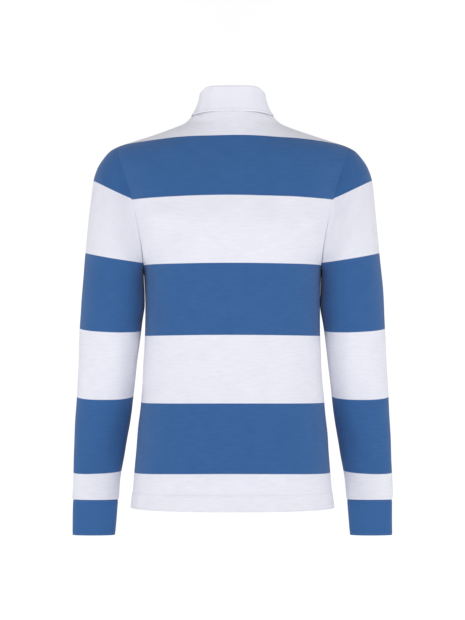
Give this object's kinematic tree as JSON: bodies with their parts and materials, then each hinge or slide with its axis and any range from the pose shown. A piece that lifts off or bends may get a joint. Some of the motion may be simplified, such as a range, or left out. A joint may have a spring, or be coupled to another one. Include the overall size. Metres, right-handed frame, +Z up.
{
  "type": "rugby shirt",
  "caption": "Long-sleeved rugby shirt in broad blue and white hoops with a white turned-down collar and blue cuffs, filled out as worn and hollow inside.",
  "frame": {"origin": "middle of the neck base, where the wearer's neck and shoulders hold the shirt up", "axes": "+Z up along the body; -Y the way the wearer faces; +X the wearer's left"},
  "size_m": [0.581, 0.2396, 0.8073],
  "materials": {
    "hooped_jersey": "matt heavy cotton jersey knit, white with broad mid-blue hoops",
    "white_twill": "matt white cotton twill, edge-stitched",
    "blue_rib": "matt mid-blue fine rib knit",
    "button_rubber": "satin off-white rubber"
  },
  "bodies": {
    "root": {"back_panel": "hooped_jersey", "front_panel": "hooped_jersey", "sleeve_left": "hooped_jersey", "sleeve_right": "hooped_jersey", "cuff_left": "blue_rib", "cuff_right": "blue_rib", "collar_stand": "white_twill", "collar_leaf": "white_twill", "placket_upper": "white_twill", "placket_under": "white_twill", "button_1": "button_rubber", "button_2": "button_rubber", "button_3": "button_rubber"}
  },
  "joints": []
}
